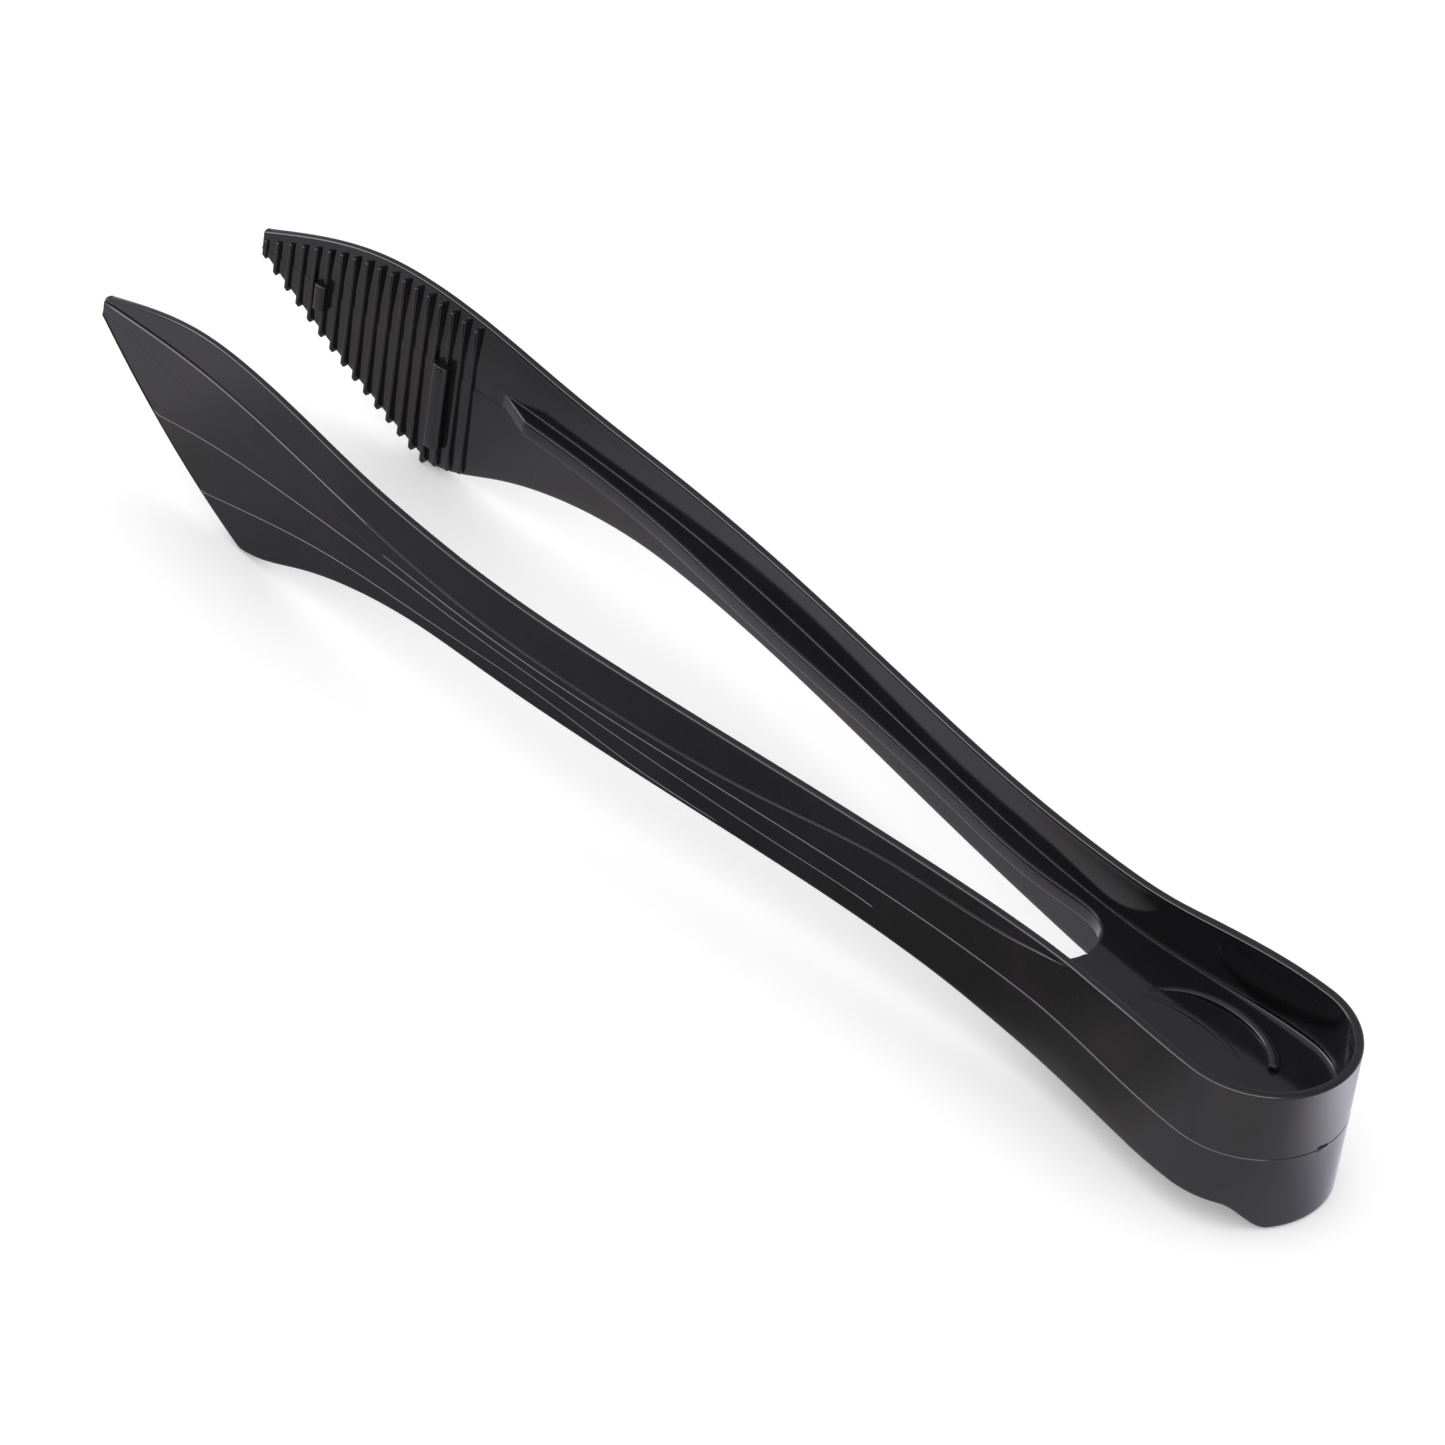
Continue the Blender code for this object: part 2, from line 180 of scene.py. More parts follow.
def low_edge(x):
    """Height of the band's lower edge, with the jaw's slanted end."""
    t = (x - CORNER_X) / (LENGTH - CORNER_X)
    if t <= 0.0:
        arm = LOW_EDGE(x)
        slant = CORNER_DROP
    else:
        arm = CORNER_DROP + CORNER_SLOPE * (x - CORNER_X)
        slant = CORNER_DROP + (TIP_DROP - CORNER_DROP) * t + SLANT_BULGE * t * (1.0 - t)
    gap = arm - slant
    return -(0.5 * (arm + slant) - 0.5 * math.sqrt(gap * gap + CORNER_SOFT * CORNER_SOFT))


def foot_edge(along):
    """Height of the lower edge round the bow, by the distance along it from the crown."""
    foot = 1.0 - ease((along - FOOT_HALF) / FOOT_FADE)
    return -(BOW_DROP + (FOOT_DROP - BOW_DROP) * foot)


def flange_reach(x):
    """How far the flange stands in from the wall; it starts with a slanted end face."""
    return max(0.0, FLANGE(x) * min(1.0, (FLANGE_END - x) / FLANGE_SLANT))


# ---------------------------------------------------------------- sections

class Station:
    """One cross-section of the band: its place in plan and its sizes there."""

    def __init__(self, x, angle=None):
        if angle is None:
            slope = (half_width(x + 0.01) - half_width(x - 0.01)) / 0.02
            self.spot = Vector((x, half_width(x)))
            self.inward = Vector((slope, -1.0)).normalized()
        else:
            out = Vector((-math.cos(angle), math.sin(angle)))
            self.spot = Vector((NOSE, 0.0)) + NOSE * out
            self.inward = -out
        if angle is not None:
            self.low = foot_edge(angle * NOSE)
        elif x > NOSE + FOOT_CLEAR:
            self.low = low_edge(x)
        else:
            self.low = foot_edge(0.5 * math.pi * NOSE + x - NOSE)
        self.top = TOP_EDGE(self.spot.x) - 0.02
        self.inner = self.spot + self.inward * WALL
        self.free_edge()

    def free_edge(self):
        """The web's or flange's free edge here, and the way into the open space."""
        x = self.spot.x
        self.midline = x < SLOT_FROM
        if self.midline:
            t = max(0.0, (x - NOSE) / (SLOT_FROM - NOSE))
            last = SLOT_X - SLOT_R - EDGE_ROUND
            self.edge = Vector((NOSE + (last - NOSE) * t, 0.0))
            self.void = Vector((1.0, 0.0))
        elif x < SLOT_TO:
            turn = math.pi - 0.5 * math.pi * (x - SLOT_FROM) / (SLOT_TO - SLOT_FROM)
            away = Vector((math.cos(turn), math.sin(turn)))
            self.edge = Vector((SLOT_X, 0.0)) + SLOT_R * away
            self.void = -away
        else:
            self.edge = self.inner + self.inward * flange_reach(x)
            self.void = self.inward
        self.reach = (self.edge - self.inner).length

    def at(self, depth, height):
        """A point of the wall, by depth from the outer face."""
        spot = self.spot + self.inward * (depth + SHY)
        return (spot.x, spot.y, height)


def ledge(rows, centre, half, depth, step, bead, groove):
    """Rows that make one shallow step, with a fine bead below it and a groove above it."""
    after = depth + step
    rise = min(0.63 * half, bead + step)
    rows.append((depth, centre - 2.8 * half))
    rows.append((depth, centre - 2.2 * half))
    rows.append((depth - bead, centre - 1.6 * half))
    rows.append((depth - bead, centre - 1.1 * half))
    rows.append((depth - bead + rise, centre - 0.2 * half))
    rows.append((after + groove, centre + 0.7 * half))
    rows.append((after + groove, centre + 1.3 * half))
    rows.append((after, centre + 2.2 * half))
    rows.append((after, centre + 2.8 * half))


def fill(rows, depth, low, high, count):
    """Plain rows between two heights."""
    for i in range(1, count + 1):
        rows.append((depth, low + (high - low) * i / (count + 1)))


def outer_lines(x):
    """The fine lines here, from below: height, half width, step, bead and groove."""
    flow_a = ease((x - FLOW_A_FROM) / FLOW_FADE)
    flow_b = ease((x - FLOW_B_FROM) / FLOW_FADE)
    strip = ease((x - STEP_FROM) / STEP_FADE)
    crisp = 0.4 + 0.6 * ease((x - 130.0) / 50.0)
    return (
        (FLOW_LINE_B(x), 0.10, 0.05 * flow_b, 0.045 * flow_b * crisp, 0.0),
        (FLOW_LINE_A(x), 0.10, 0.05 * flow_a, 0.045 * flow_a * crisp, 0.0),
        (0.0, 0.10, 0.0, 0.030 - 0.010 * crisp, 0.10 - 0.05 * crisp),
        (STEP_LINE(x), 0.14, 0.22 * strip, 0.05 * strip * crisp, 0.12 * strip),
    )


def outer_rows(st):
    """Depth and height of the outer face's rows from below, and the depth at the top."""
    low, high = st.low + RIM, st.top - RIM
    rows = [(0.0, low), (0.0, low + HEM)]
    depth = 0.0
    below = low + HEM
    for height, half, step, bead, groove in outer_lines(st.spot.x):
        centre = min(max(height, below), high - HEM)
        room = min(centre - below, high - HEM - centre)
        half = min(half, 0.2 * max(0.0, room))
        if half < 0.05:
            bead = groove = 0.0
        fill(rows, depth, below, centre - 2.8 * half, 3)
        ledge(rows, centre, half, depth, step, bead, groove)
        depth += step
        below = centre + 2.8 * half
    fill(rows, depth, below, high - HEM, 4)
    rows.append((depth, high - HEM))
    rows.append((depth, high))
    return rows, depth


def arc(count):
    """Cosines and sines of a quarter turn in even steps, without its two ends."""
    angles = [0.5 * math.pi * i / count for i in range(1, count)]
    return [(math.cos(a), math.sin(a)) for a in angles]


def section(st):
    """The closed ring of points round one cross-section."""
    rows, outer_top = outer_rows(st)
    high, low = st.top, st.low
    fillet = 0.2 + 0.9 * (1.0 - ease((st.spot.x - 14.0) / 20.0))
    fillet = min(fillet, 0.4 * st.reach)
    ring = [st.at(depth, height) for depth, height in rows]
    ring += upper_rim(st, high, outer_top)
    thin = WALL - DRAFT_UP * (high - WEB_TOP)
    ring.append(st.at(thin, high - RIM))
    ring.append(st.at(thin, high - RIM - HEM))
    for i in range(1, 7):
        z = high - RIM + (WEB_TOP + fillet - high + RIM) * i / 7.0
        ring.append(st.at(thin + (WALL - thin) * i / 7.0, z))
    ring += web_points(st, fillet)
    inside = WALL + 0.06 * ease((st.spot.x - 184.0) / 6.0)
    under = WEB_LOW - min(UNDER_FILLET, fillet)
    lean = DRAFT_DOWN * (under - low)
    for i in range(6):
        z = under - 0.06 + (low + RIM - under) * i / 6.0
        ring.append(st.at(inside - lean * i / 6.0, z))
    ring += lower_rim(st, low, inside - lean)
    return ring


def upper_rim(st, high, outer):
    """The band's rounded upper edge, from the outer face to the inner one."""
    inner = WALL - DRAFT_UP * (high - WEB_TOP)
    turn = arc(5)
    points = []
    for c, s in turn:
        points.append(st.at(outer + RIM * (1.0 - c), high - RIM + RIM * s))
    points.append(st.at(outer + RIM, high))
    points.append(st.at(inner - RIM, high))
    for c, s in turn:
        points.append(st.at(inner - RIM * (1.0 - s), high - RIM + RIM * c))
    return points


def lower_rim(st, low, inner):
    """The band's rounded lower edge, from the inner face to the outer one."""
    turn = arc(5)
    points = [st.at(inner, low + RIM)]
    for c, s in turn:
        points.append(st.at(inner - RIM * (1.0 - c), low + RIM - RIM * s))
    points.append(st.at(inner - RIM, low))
    points.append(st.at(RIM, low))
    for c, s in turn:
        points.append(st.at(RIM * (1.0 - s), low + RIM - RIM * c))
    return points


def web_points(st, fillet):
    """Top, free edge and underside of the web or flange, from wall to wall."""
    base = st.inner + st.inward * SHY
    way = st.edge - base
    way = way.normalized() if way.length > 1e-6 else st.inward
    points = [st.at(WALL, WEB_TOP + fillet)]
    for c, s in arc(6):
        spot = base + way * fillet * (1.0 - c)
        points.append((spot.x, spot.y, WEB_TOP + fillet * (1.0 - s)))
    start = base + way * fillet
    shrink = 0.0 if st.midline else min(EDGE_ROUND, 0.45 * st.reach)
    rim = st.edge - st.void * shrink
    for i in range(6):
        spot = start.lerp(rim, i / 5.0)
        points.append((spot.x, spot.y, WEB_TOP))
    for c, s in arc(5):
        spot = rim + st.void * shrink * s
        points.append((spot.x, spot.y, WEB_TOP - shrink * (1.0 - c)))
    tip = rim + st.void * shrink
    points.append((tip.x, tip.y, WEB_TOP - shrink))
    points.append((tip.x, tip.y, WEB_LOW + shrink))
    for c, s in arc(5):
        spot = rim + st.void * shrink * c
        points.append((spot.x, spot.y, WEB_LOW + shrink * (1.0 - s)))
    small = min(UNDER_FILLET, fillet)
    start = base + way * small
    for i in range(5):
        spot = rim.lerp(start, i / 4.0)
        points.append((spot.x, spot.y, WEB_LOW))
    for c, s in arc(4):
        spot = base + way * small * (1.0 - s)
        points.append((spot.x, spot.y, WEB_LOW - small * (1.0 - c)))
    return points


# ---------------------------------------------------------------- meshes

def stand_matrix():
    """Draw frame to the place where the tongs stand, both in millimetres."""
    angle = math.atan2(CORNER_DROP - FOOT_DROP, CORNER_X - SOLE_X)
    tilt = Matrix.Rotation(-angle, 4, "Y")
    sole = tilt @ Vector((SOLE_X, 0.0, -FOOT_DROP))
    back = min((tilt @ Vector((0.0, 0.0, z))).x for z in (-FOOT_DROP, BOW_TOP))
    front = max((tilt @ Vector((LENGTH, 0.0, z))).x for z in (-TIP_DROP, TIP_TOP))
    return Matrix.Translation((-0.5 * (back + front), 0.0, -sole.z)) @ tilt


STAND = stand_matrix()


def placed(bm, name, material, side=1.0):
    """Put a draw-frame mesh in its standing place as a new object."""
    if side < 0.0:
        bmesh.ops.scale(bm, vec=Vector((1.0, -1.0, 1.0)), verts=bm.verts)
    bmesh.ops.transform(bm, matrix=Matrix.Scale(MM, 4) @ STAND, verts=bm.verts)
    bmesh.ops.remove_doubles(bm, verts=bm.verts, dist=0.0015 * MM)
    bmesh.ops.dissolve_degenerate(bm, edges=bm.edges, dist=0.001 * MM)
    bmesh.ops.recalc_face_normals(bm, faces=bm.faces)
    mesh = bpy.data.meshes.new(name)
    bm.to_mesh(mesh)
    bm.free()
    mesh.materials.append(material)
    obj = bpy.data.objects.new(name, mesh)
    bpy.context.scene.collection.objects.link(obj)
    mesh.shade_smooth()
    mesh.set_sharp_from_angle(angle=math.radians(32.0))
    return obj


def loft(bm, rings, cap_first, cap_last):
    """Join rings of points into a band, and close its ends."""
    grid = [[bm.verts.new(p) for p in ring] for ring in rings]
    for a, b in zip(grid, grid[1:]):
        for i in range(len(a)):
            j = (i + 1) % len(a)
            bm.faces.new((a[i], a[j], b[j], b[i]))
    for ring, wanted in ((grid[0], cap_first), (grid[-1], cap_last)):
        if wanted:
            bm.faces.new(ring)


def spaced(start, stop, step):
    """Evenly spaced values from start to stop."""
    return np.linspace(start, stop, max(2, int(round((stop - start) / step)) + 1))


def bow_skin(material):
    """The whole bow with its web, from one arm's root to the other's."""
    stations = [Station(0.0, angle=a) for a in np.linspace(0.0, 0.5 * math.pi, 61)]
    stations += [Station(x) for x in spaced(NOSE, SLOT_FROM - 0.01, 0.8)[1:]]
    stations += [Station(x) for x in spaced(SLOT_FROM, SLOT_TO, 0.22)]
    stations.append(Station(SPLIT_X))
    bm = bmesh.new()
    loft(bm, [section(st) for st in stations], False, True)
    middle = [f for f in bm.faces if all(abs(v.co.y) < 1e-6 for v in f.verts)]
    bmesh.ops.delete(bm, geom=middle, context="FACES")
    half = bm.verts[:] + bm.edges[:] + bm.faces[:]
    copy = bmesh.ops.duplicate(bm, geom=half)["geom"]
    verts = [g for g in copy if isinstance(g, bmesh.types.BMVert)]
    bmesh.ops.scale(bm, vec=Vector((1.0, -1.0, 1.0)), verts=verts)
    bmesh.ops.remove_doubles(bm, verts=bm.verts, dist=0.0015)
    return placed(bm, "spring_bow_skin", material)


def arm_skin(name, side, material):
    """One arm and its jaw's blade, from the bow to the rounded tip."""
    xs = list(spaced(SPLIT_X, 172.0, 1.0)) + list(spaced(172.0, CORNER_X - 3.0, 0.5))[1:]
    xs += list(spaced(CORNER_X - 3.0, CORNER_X + 3.0, 0.2))[1:]
    xs += list(spaced(CORNER_X + 3.0, LENGTH - TIP_ROUND, 0.6))[1:]
    rings = [section(Station(x)) for x in xs]
    last = np.array(rings[-1])
    centre = last.mean(axis=0)
    for c, s in arc(6) + [(0.0, 1.0)]:
        shrink = TIP_ROUND * (1.0 - c)
        ring = last.copy()
        ring[:, 0] += TIP_ROUND * s
        for axis in (1, 2):
            away = ring[:, axis] - centre[axis]
            reach = np.abs(away).max()
            ring[:, axis] = centre[axis] + away * (1.0 - 0.85 * shrink / reach)
        rings.append([tuple(p) for p in ring])
    bm = bmesh.new()
    loft(bm, rings, True, True)
    return placed(bm, name, material, side)


def bar(bm, x, half, reach, bottom, top, soft):
    """An upright rounded bar on the jaw's inner face, from a bottom curve to a level top."""
    st = Station(x)
    ahead = Vector((-st.inward.y, st.inward.x))
    corner = min(0.6 * half, 0.5 * reach)
    brow = half - 0.12 * reach
    profile = [(-half, -0.5), (-half, 0.0), (-brow, reach - corner)]
    profile += [(-brow + corner * (1.0 - c), reach - corner + corner * s) for c, s in arc(4)]
    profile.append((-brow + corner, reach))
    profile += [(-u, d) for u, d in reversed(profile)]

    def ring(share, lift, sink):
        """A ring at a share of the bar's height, lifted from there and sunk to the wall."""
        points = []
        for u, d in profile:
            depth = WALL + SHY + min(d, reach - sink)
            spot = st.spot + ahead * (u * (1.0 - 0.25 * sink / soft)) + st.inward * depth
            low = bottom(spot.x) + soft
            points.append((spot.x, spot.y, low * (1.0 - share) + (top - soft) * share + lift))
        return points

    turn = arc(4)
    rings = [ring(0.0, -soft * c, soft * (1.0 - s)) for c, s in [(1.0, 0.0)] + turn]
    rings += [ring(i / 5.0, 0.0, 0.0) for i in range(6)]
    rings += [ring(1.0, soft * s, soft * (1.0 - c)) for c, s in turn + [(0.0, 1.0)]]
    loft(bm, rings, True, True)


def level(height):
    """A curve that stays at one height."""
    return lambda x: height


def past_slant(x):
    """A curve a little below the jaw's slanted end."""
    return low_edge(x) - RIB_PAST_SLANT


def grip_ribs(name, side, material):
    """The row of upright ribs inside one jaw."""
    bm = bmesh.new()
    for i in range(RIB_COUNT):
        x = LENGTH - TIP_RIB_BACK - RIB_PITCH * i
        top = TOP_EDGE(x) - RIB_UNDER_TOP
        bottom = past_slant if x > CORNER_X else level(low_edge(x) + RIB_OVER_LOW)
        reach = RIB_REACH if i else TIP_RIB_REACH
        bar(bm, x, RIB_HALF, reach, bottom, top, RIB_ROUND)
    return placed(bm, name, material, side)


def guide_blocks(material):
    """The two blocks that stand out past the ribs inside the right jaw."""
    bm = bmesh.new()
    for x, half, reach, bottom, top, soft in BLOCKS:
        bar(bm, x, half, reach, level(bottom), top, soft)
    return placed(bm, "right_jaw_blocks", material, -1.0)


def web_ridge(bm, centre_of, width_of, height_of):
    """A rounded ridge on the web along a path, given as curves of 0 to 1."""
    rings = []
    for t in 0.5 - 0.5 * np.cos(np.linspace(0.0, math.pi, 90)):
        spot = centre_of(t)
        along = (centre_of(t + 0.002) - centre_of(t - 0.002)).normalized()
        out = Vector((along.y, -along.x))
        ring = []
        for k in range(9):
            turn = math.pi * k / 8.0
            point = spot + out * width_of(t) * math.cos(turn)
            ring.append((point.x, point.y, WEB_TOP + height_of(t) * math.sin(turn)))
        ring += [(p[0], p[1], WEB_TOP - 0.4) for p in (ring[-1], ring[0])]
        rings.append(ring)
    loft(bm, rings, True, True)


def ellipse_path(middle, radii, start, stop):
    """A path along part of an ellipse, by angles in degrees."""
    def spot(t):
        angle = math.radians(start + (stop - start) * t)
        away = Vector((radii[0] * math.cos(angle), radii[1] * math.sin(angle)))
        return Vector(middle) + away

    return spot


def web_crescent(material):
    """The crescent on the right half of the web: a blunt rib and a low inner edge."""
    bm = bmesh.new()

    def blunt(t):
        """Round off the rib's first end."""
        return math.sqrt(1.0 - (1.0 - min(1.0, max(t, 0.00002) / 0.03)) ** 2)

    def fade(t):
        """Let the rib's second half run out."""
        return 1.0 - 0.9 * ease((t - 0.45) / 0.55)

    rib = ellipse_path((23.2, -0.3), (11.2, 7.6), -156.0, -10.0)
    web_ridge(bm, rib, lambda t: 0.85 * blunt(t) * (0.3 + 0.7 * fade(t)),
              lambda t: 0.95 * blunt(t) * fade(t))
    edge = ellipse_path((24.5, 2.6), (11.2, 5.3), -135.0, -25.0)
    web_ridge(bm, edge, lambda t: 0.5 * (1.0 - 0.7 * abs(2.0 * t - 1.0)),
              lambda t: 0.3 * (1.0 - 0.9 * abs(2.0 * t - 1.0)))
    return placed(bm, "web_crescent", material)


def gate_mark(material):
    """The small trimmed gate on the parting plane at the crown."""
    bm = bmesh.new()
    rings = []
    for t in np.linspace(-1.0, 1.0, 25):
        angle = 0.10 * t
        swell = math.sqrt(max(0.02, 1.0 - t * t))
        ring = []
        for k in range(12):
            turn = 2.0 * math.pi * k / 12.0
            reach = NOSE - SHY - 0.12 + 0.44 * swell * max(0.0, math.cos(turn))
            height = 0.5 * swell * math.sin(turn) + 0.06 * math.sin(5.0 * t)
            ring.append((NOSE - reach * math.cos(angle), reach * math.sin(angle), height))
        rings.append(ring)
    loft(bm, rings, True, True)
    return placed(bm, "gate_mark", material)


# ---------------------------------------------------------------- shader nodes

def feed(tree, value, socket):
    """Link an output to an input, or set the input to a plain value."""
    if isinstance(value, bpy.types.NodeSocket):
        tree.links.new(value, socket)
    else:
        socket.default_value = value


def noise(tree, place, scale, detail, rough=0.5):
    """A cloudy pattern from 0 to 1."""
    texture = tree.nodes.new("ShaderNodeTexNoise")
    feed(tree, place, texture.inputs["Vector"])
    feed(tree, scale, texture.inputs["Scale"])
    feed(tree, detail, texture.inputs["Detail"])
    feed(tree, rough, texture.inputs["Roughness"])
    return texture.outputs["Fac"]


def span(tree, value, start, stop, low=0.0, high=1.0, smooth=False):
    """Turn the range from start to stop into the range from low to high."""
    made = tree.nodes.new("ShaderNodeMapRange")
    made.interpolation_type = "SMOOTHSTEP" if smooth else "LINEAR"
    feed(tree, value, made.inputs["Value"])
    feed(tree, start, made.inputs["From Min"])
    feed(tree, stop, made.inputs["From Max"])
    feed(tree, low, made.inputs["To Min"])
    feed(tree, high, made.inputs["To Max"])
    return made.outputs["Result"]


def combine(tree, operation, *values):
    """Work out one value from others."""
    made = tree.nodes.new("ShaderNodeMath")
    made.operation = operation
    for value, socket in zip(values, made.inputs):
        feed(tree, value, socket)
    return made.outputs["Value"]


def mixed(tree, kind, share, a, b):
    """A value or a colour between a and b."""
    made = tree.nodes.new("ShaderNodeMix")
    made.data_type = kind
    feed(tree, share, made.inputs["Factor"])
    feed(tree, a, made.inputs["A"])
    feed(tree, b, made.inputs["B"])
    return made.outputs["Result"]


def stretched(tree, place, **settings):
    """Scaled, turned or shifted coordinates."""
    made = tree.nodes.new("ShaderNodeMapping")
    feed(tree, place, made.inputs["Vector"])
    for name, value in settings.items():
        feed(tree, value, made.inputs[name])
    return made.outputs["Vector"]


def stops(tree, value, places):
    """A brightness that changes along a value, given as (value, brightness) stops."""
    first, last = places[0][0], places[-1][0]
    ramp = tree.nodes.new("ShaderNodeValToRGB")
    ramp.color_ramp.interpolation = "EASE"
    marks = ramp.color_ramp.elements
    while len(marks) < len(places):
        marks.new(0.5)
    for mark, (where, bright) in zip(marks, places):
        mark.position = (where - first) / (last - first)
        mark.color = (bright, bright, bright, 1.0)
    feed(tree, span(tree, value, first, last), ramp.inputs["Fac"])
    return ramp.outputs["Color"]


# ---------------------------------------------------------------- plastic

def relief(tree, height, strength, distance, under=None):
    """Raise the surface by a height, or cut it in over a relief that is already there."""
    made = tree.nodes.new("ShaderNodeBump")
    feed(tree, strength, made.inputs["Strength"])
    feed(tree, distance, made.inputs["Distance"])
    feed(tree, height, made.inputs["Height"])
    if under is not None:
        made.invert = True
        feed(tree, under, made.inputs["Normal"])
    return made.outputs["Normal"]


def scratches(tree, place):
    """Fine scuffs that run along the tongs."""
    along = stretched(tree, place, Scale=(60.0, 900.0, 900.0), Rotation=(0.0, 0.1, 0.3))
    return span(tree, noise(tree, along, 1.0, 5.0, 0.7), 0.64, 0.78)


def plastic(name, base, rough, peel):
    """Glossy black moulded plastic with orange peel, faint haze, scuffs and dust."""
    material = bpy.data.materials.new(name)
    material.use_nodes = True
    tree = material.node_tree
    shader = tree.nodes["Principled BSDF"]
    shader.inputs["IOR"].default_value = 1.5
    place = tree.nodes.new("ShaderNodeTexCoord").outputs["Object"]
    haze = noise(tree, place, 55.0, 4.0, 0.6)
    scuffs = scratches(tree, place)

    hazy = span(tree, haze, 0.35, 0.7, rough, rough + 0.07)
    feed(tree, combine(tree, "MULTIPLY_ADD", scuffs, 0.12, hazy), shader.inputs["Roughness"])

    dusty = (base[0] * 1.7, base[1] * 1.6, base[2] * 1.65)
    film = mixed(tree, "RGBA", span(tree, haze, 0.45, 0.75), (*base, 1.0), (*dusty, 1.0))
    flecks = span(tree, noise(tree, place, 2600.0, 1.0), 0.80, 0.84)
    colour = mixed(tree, "RGBA", flecks, film, (0.05, 0.048, 0.045, 1.0))
    feed(tree, colour, shader.inputs["Base Color"])

    skin = relief(tree, noise(tree, place, 700.0, 2.0), peel, 0.04 * MM)
    skin = relief(tree, scuffs, 0.12, 0.03 * MM, under=skin)
    feed(tree, skin, shader.inputs["Normal"])
    return material


# ---------------------------------------------------------------- studio

def world_light():
    """White to the eye and to dull surfaces, a dim, a lit and a bright side in gloss."""
    world = bpy.data.worlds.new("studio")
    bpy.context.scene.world = world
    world.use_nodes = True
    tree = world.node_tree
    tree.nodes.clear()
    place = tree.nodes.new("ShaderNodeTexCoord")
    split = tree.nodes.new("ShaderNodeSeparateXYZ")
    feed(tree, place.outputs["Generated"], split.inputs["Vector"])
    across, height = split.outputs["Y"], split.outputs["Z"]
    side = span(tree, across, -0.45, 0.5, 0.42, 0.9, smooth=True)
    strip = span(tree, across, 0.25, 0.45, smooth=True)
    foot = span(tree, height, 0.02, 0.14, 0.0, 4.6, smooth=True)
    head = span(tree, height, 0.50, 0.40, smooth=True)
    strip = combine(tree, "MULTIPLY", head, combine(tree, "MULTIPLY", foot, strip))
    plain = tree.nodes.new("ShaderNodeBackground")
    plain.inputs["Color"].default_value = (1.0, 1.0, 1.0, 1.0)
    plain.inputs["Strength"].default_value = 1.08
    shiny = tree.nodes.new("ShaderNodeBackground")
    shiny.inputs["Color"].default_value = (0.98, 0.95, 1.06, 1.0)
    feed(tree, combine(tree, "ADD", side, strip), shiny.inputs["Strength"])
    path = tree.nodes.new("ShaderNodeLightPath")
    choose = tree.nodes.new("ShaderNodeMixShader")
    feed(tree, path.outputs["Is Glossy Ray"], choose.inputs["Fac"])
    feed(tree, plain.outputs["Background"], choose.inputs[1])
    feed(tree, shiny.outputs["Background"], choose.inputs[2])
    out = tree.nodes.new("ShaderNodeOutputWorld")
    feed(tree, choose.outputs["Shader"], out.inputs["Surface"])


def plane(name, size, height, material):
    """A level square on the stage."""
    bm = bmesh.new()
    bmesh.ops.create_grid(bm, x_segments=1, y_segments=1, size=0.5 * size)
    mesh = bpy.data.meshes.new(name)
    bm.to_mesh(mesh)
    bm.free()
    mesh.materials.append(material)
    obj = bpy.data.objects.new(name, mesh)
    obj.location.z = height
    bpy.context.scene.collection.objects.link(obj)
    return obj


def floor():
    """A plain white table top, which gloss doesn't see."""
    white = bpy.data.materials.new("floor_white")
    white.use_nodes = True
    shader = white.node_tree.nodes["Principled BSDF"]
    shader.inputs["Base Color"].default_value = (0.92, 0.92, 0.92, 1.0)
    shader.inputs["Roughness"].default_value = 0.9
    shader.inputs["Specular IOR Level"].default_value = 0.0
    shader.inputs["Emission Color"].default_value = (1.0, 1.0, 1.0, 1.0)
    shader.inputs["Emission Strength"].default_value = 0.22
    top = plane("floor", 8.0, -0.0001, white)
    top.visible_glossy = False


def glow_strength(tree, place):
    """How bright the glow is, by place in metres: beside the tongs, where it carries a painted shadow
    of the tongs, between the arms, at the tips, and in a painted pool of light past the bow.
    """
    split = tree.nodes.new("ShaderNodeSeparateXYZ")
    feed(tree, place, split.inputs["Vector"])
    along, across = split.outputs["X"], split.outputs["Y"]
    # Painted shadow: along the near arm the glow is dimmed, most of all beside the arm's middle,
    # standing in for the tongs' shadow cast on the floor.
    beside = stops(tree, along, (
        (-0.107, 0.80), (-0.092, 0.62), (-0.073, 0.26), (-0.055, 0.14), (-0.015, 0.17),
        (0.020, 0.24), (0.045, 0.29), (0.075, 0.33), (0.100, 0.42), (0.122, 0.65)))
    between = stops(tree, along, (
        (-0.080, 0.90), (-0.020, 0.72), (0.040, 0.80), (0.065, 0.70), (0.085, 0.50), (0.120, 0.60)))
    near = span(tree, across, 0.012, 0.020, smooth=True)
    far = span(tree, across, 0.085, 0.055, smooth=True)
    shade = mixed(tree, "FLOAT", combine(tree, "MULTIPLY", near, far), between, beside)

    # Painted pool of light: a bright patch on the card past the bow's round end, on the far side,
    # standing in for studio light spilling onto the floor.
    centre, radii = (-0.145, -0.035), (0.045, 0.05)
    offset = stretched(
        tree, place, Scale=(1.0 / radii[0], 1.0 / radii[1], 1.0),
        Location=(-centre[0] / radii[0], -centre[1] / radii[1], 0.0))
    distance = tree.nodes.new("ShaderNodeVectorMath")
    distance.operation = "LENGTH"
    feed(tree, offset, distance.inputs[0])
    painted_light_pool = span(tree, distance.outputs["Value"], 1.0, 0.0, 0.0, 3.4, smooth=True)
    return combine(tree, "ADD", shade, painted_light_pool)


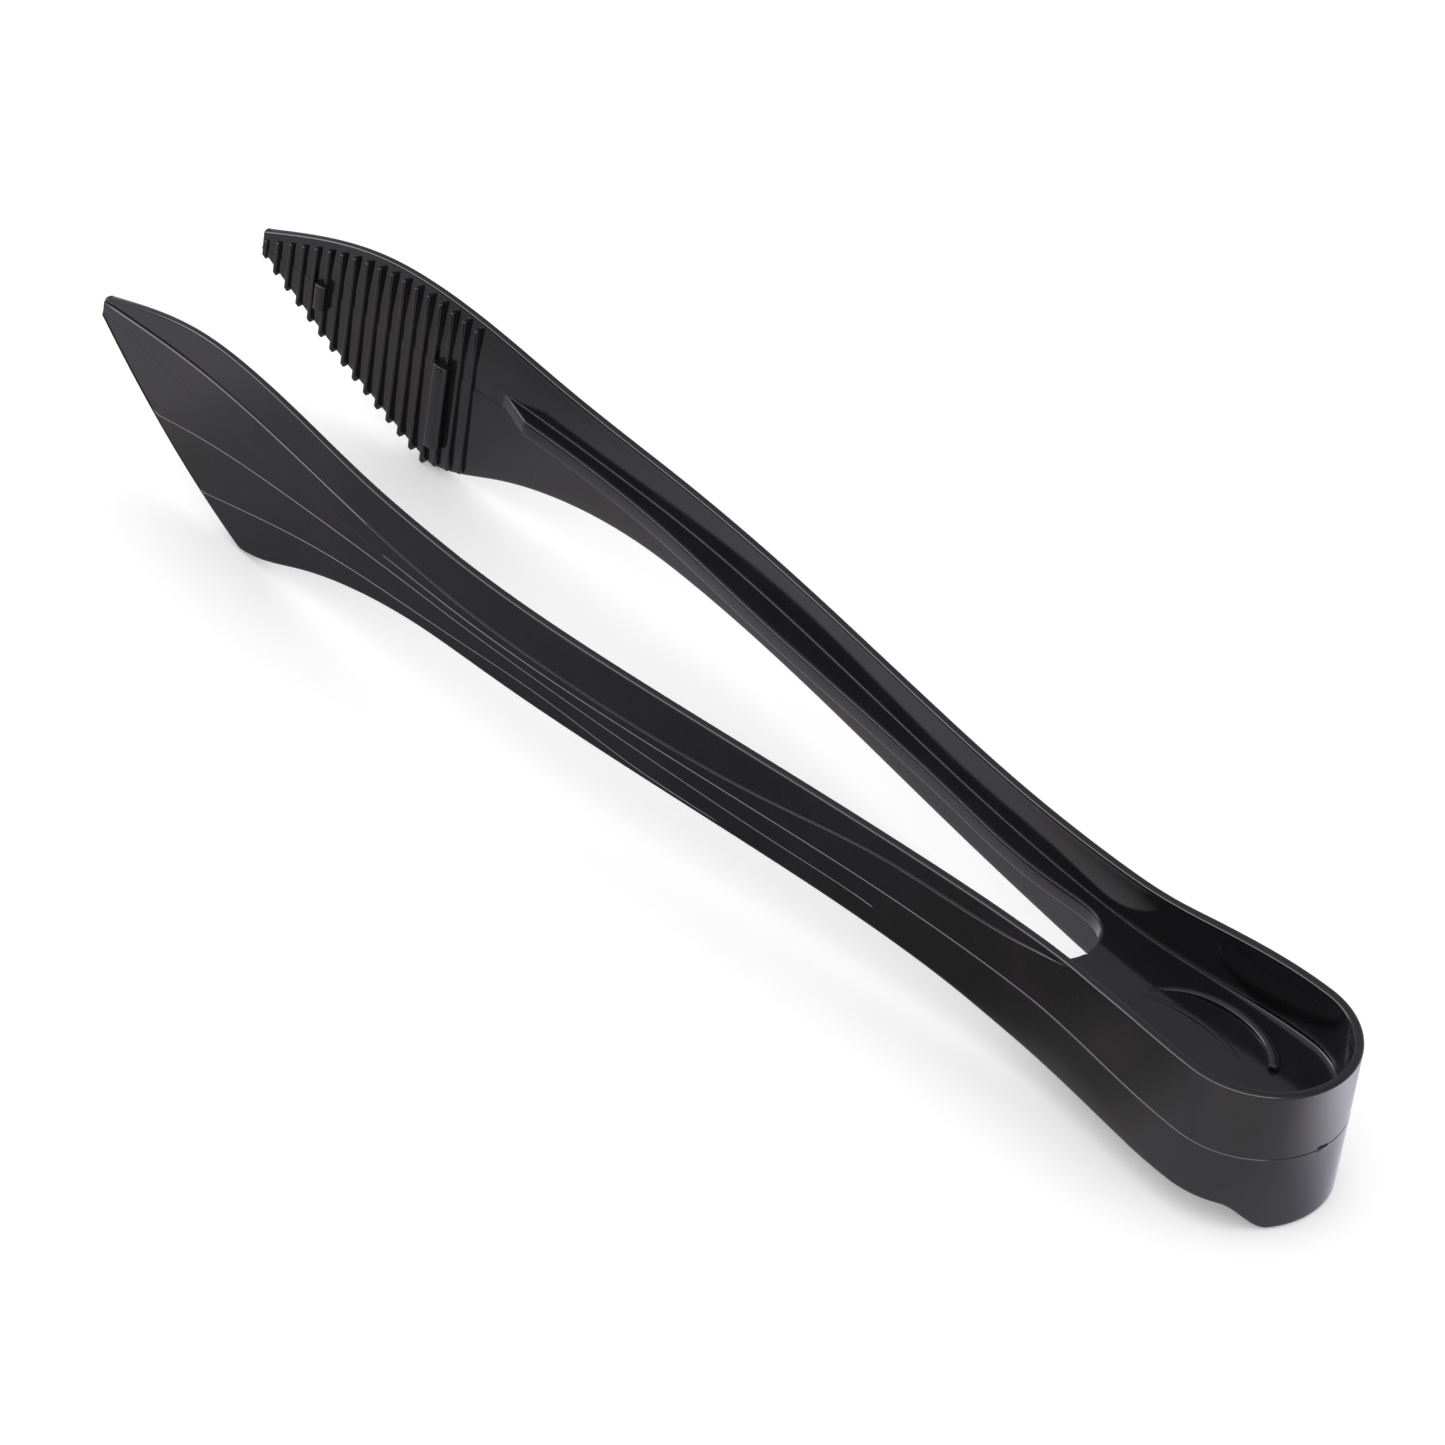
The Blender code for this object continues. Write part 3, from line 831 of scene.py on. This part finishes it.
def floor_glow():
    """What gloss sees in place of the table top, and nothing else does: a glowing card with a painted
    shadow of the tongs and a painted pool of light.
    """
    glow = bpy.data.materials.new("floor_glow")
    glow.use_nodes = True
    tree = glow.node_tree
    tree.nodes.clear()
    place = tree.nodes.new("ShaderNodeTexCoord").outputs["Object"]
    drift = span(tree, noise(tree, place, 14.0, 2.0), 0.4, 0.6)
    hue = mixed(tree, "RGBA", drift, (0.95, 0.93, 1.08, 1.0), (1.01, 0.96, 0.97, 1.0))
    light = tree.nodes.new("ShaderNodeEmission")
    feed(tree, hue, light.inputs["Color"])
    feed(tree, glow_strength(tree, place), light.inputs["Strength"])
    out = tree.nodes.new("ShaderNodeOutputMaterial")
    feed(tree, light.outputs["Emission"], out.inputs["Surface"])
    card = plane("floor_glow", 8.0, -0.0003, glow)
    card.visible_camera = False
    card.visible_diffuse = False
    card.visible_shadow = False
    card.visible_transmission = False
    card.visible_volume_scatter = False


def camera():
    """A long lens high behind the bow's left side, placed in the draw frame."""
    data = bpy.data.cameras.new("camera")
    data.lens = 224.2
    data.sensor_width = 36.0
    data.clip_start, data.clip_end = 0.05, 20.0
    cam = bpy.data.objects.new("camera", data)
    bpy.context.scene.collection.objects.link(cam)
    right = Vector((-0.6756, -0.72707, 0.12221)).normalized()
    ahead = Vector((0.52135, -0.58834, -0.6181)).normalized()
    up = right.cross(ahead).normalized()
    turn = Matrix((right, up, -ahead)).transposed().to_4x4()
    spot = Matrix.Translation(Vector((-529.93, 727.58, 758.78)))
    stand = STAND @ spot @ turn
    stand.translation *= MM
    cam.matrix_world = stand
    bpy.context.scene.camera = cam


# ---------------------------------------------------------------- the scene

def place_skins():
    """Build every piece; fasten the bow's pieces, the grip ribs and the guide blocks to the bodies
    that carry them, and bake the arm skins in place without a body.
    """
    black = plastic("moulded_black", (0.0072, 0.0068, 0.0075), 0.08, 0.02)
    ribbed = plastic("ribbed_black", (0.0075, 0.0071, 0.0077), 0.12, 0.04)
    bow = bow_skin(black)
    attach(bow, "bow")
    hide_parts("spring_bow")
    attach(web_crescent(black), "bow")
    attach(gate_mark(ribbed), "bow")
    for name, side in (("left", 1.0), ("right", -1.0)):
        skin = arm_skin(name + "_arm_skin", side, black)
        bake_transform(skin)
        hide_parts(name + "_arm", name + "_jaw")
        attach(grip_ribs(name + "_grip_ribs", side, ribbed), name + "_side")
    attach(guide_blocks(ribbed), "right_side")


bpy.context.scene.view_settings.view_transform = "Standard"
world_light()
floor()
floor_glow()
camera()
place_skins()
